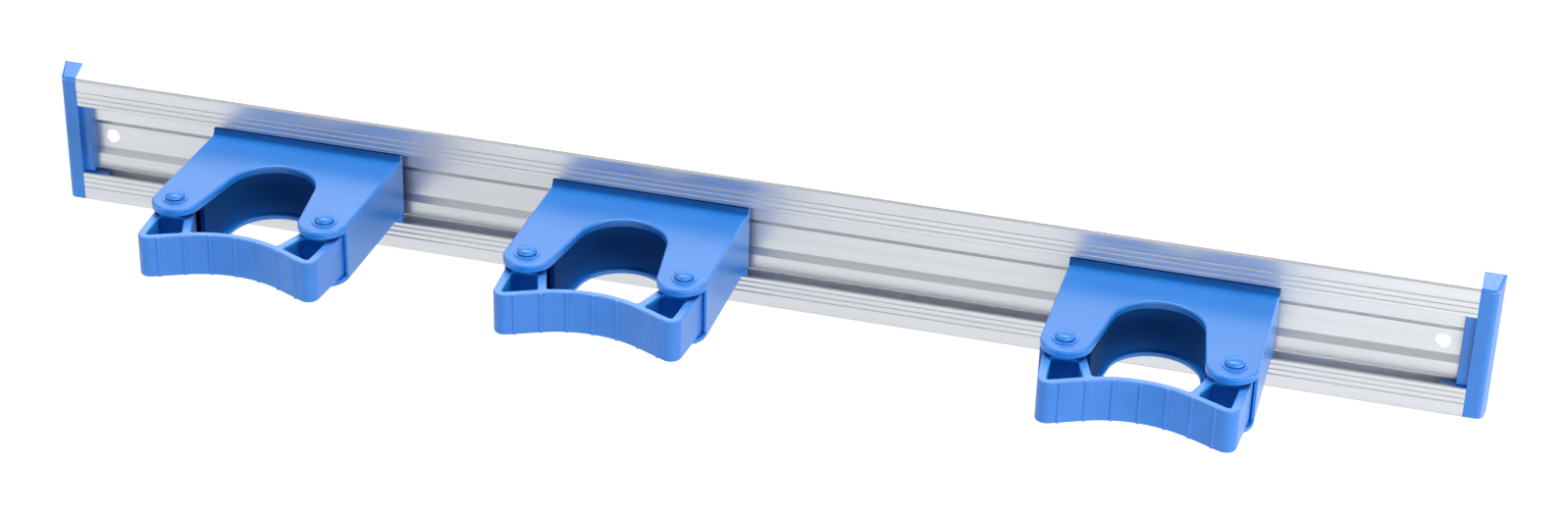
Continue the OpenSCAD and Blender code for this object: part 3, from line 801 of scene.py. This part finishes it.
def add_world():
    """A dim, even world light, which shows as white to the camera, metal and glass."""
    world = bpy.data.worlds.new("studio")
    world.use_nodes = True
    bpy.context.scene.world = world
    nodes, links = world.node_tree.nodes, world.node_tree.links
    lit = nodes["Background"]
    lit.inputs["Color"].default_value = (1, 1, 1, 1)
    lit.inputs["Strength"].default_value = WORLD_LEVEL
    shown = nodes.new("ShaderNodeBackground")
    shown.inputs["Color"].default_value = (1, 1, 1, 1)
    shown.inputs["Strength"].default_value = WORLD_WHITE
    path = nodes.new("ShaderNodeLightPath")
    seen = nodes.new("ShaderNodeMath")
    seen.operation = "MAXIMUM"
    links.new(path.outputs["Is Camera Ray"], seen.inputs[0])
    links.new(path.outputs["Is Transmission Ray"], seen.inputs[1])
    glossy = nodes.new("ShaderNodeMath")
    glossy.operation = "MAXIMUM"
    links.new(seen.outputs["Value"], glossy.inputs[0])
    links.new(path.outputs["Is Glossy Ray"], glossy.inputs[1])
    mix = nodes.new("ShaderNodeMixShader")
    links.new(glossy.outputs["Value"], mix.inputs["Fac"])
    links.new(lit.outputs["Background"], mix.inputs[1])
    links.new(shown.outputs["Background"], mix.inputs[2])
    links.new(mix.outputs["Shader"], nodes["World Output"].inputs["Surface"])


def aim(thing, place, target=(0, 0, 0)):
    """Puts a thing at a place so that its -Z looks at the target."""
    thing.location = place
    thing.rotation_euler = (Vector(target) - Vector(place)).to_track_quat("-Z", "Y").to_euler()


def add_softbox(name, place, size, power):
    """A rectangular light that looks at the object's middle and that the camera doesn't see."""
    data = bpy.data.lights.new(name, "AREA")
    data.shape = "RECTANGLE"
    data.size, data.size_y = size
    data.energy = power
    light = bpy.data.objects.new(name, data)
    light.visible_camera = False
    bpy.context.scene.collection.objects.link(light)
    aim(light, place)


def add_grey_card():
    """A grey card over the camera, which the camera doesn't see. It shades the throats from above, and the
    metal's upward slopes reflect it."""
    bpy.ops.mesh.primitive_plane_add(size=1)
    card = bpy.context.object
    card.name = "grey_card"
    card.scale = (*CARD_SIZE, 1)
    aim(card, CARD_PLACE)
    s = Surface("grey_card")
    grey = s.add("ShaderNodeEmission")
    grey.inputs["Color"].default_value = (1, 1, 1, 1)
    path = s.add("ShaderNodeLightPath")
    s.link(s.spread(path.outputs["Is Glossy Ray"], CARD_LEVEL, CARD_SHINE, 0, 1), grey.inputs["Strength"])
    s.link(grey.outputs["Emission"], s.tree.nodes["Material Output"].inputs["Surface"])
    paint(card, s.material)
    card.visible_camera = False


# Everything is put together

for i, holder_x in HOLDER_X_MM.items():
    rounded_copy(f"housing_{i}", f"holder_{i}", housing_plastic, housing_radius(holder_x), SHOULDER_R_MM,
                 inner=inner_plastic_shaded, is_inner=is_dull_and_shaded(holder_x))
    for side in (-1, 1):
        half_gripper(side, i)
        turned_pin(side, i)
rounded_copy("end_cap_left", "rail", cap_plastic, cap_radius, CAP_EDGE_R_MM)
rounded_copy("end_cap_right", "rail", cap_plastic, cap_radius, CAP_EDGE_R_MM)
rounded_copy("rail", "rail", aluminium, rail_radius, RAIL_CORNER_MM, steps=1,
             inner=slot_aluminium_lightened, is_inner=in_hook_slot)

add_camera()
add_floor()
add_world()
add_grey_card()
for light_name, (light_place, light_size, light_power) in LIGHTS.items():
    add_softbox(light_name, light_place, light_size, light_power)
bpy.context.scene.view_settings.view_transform = "Standard"
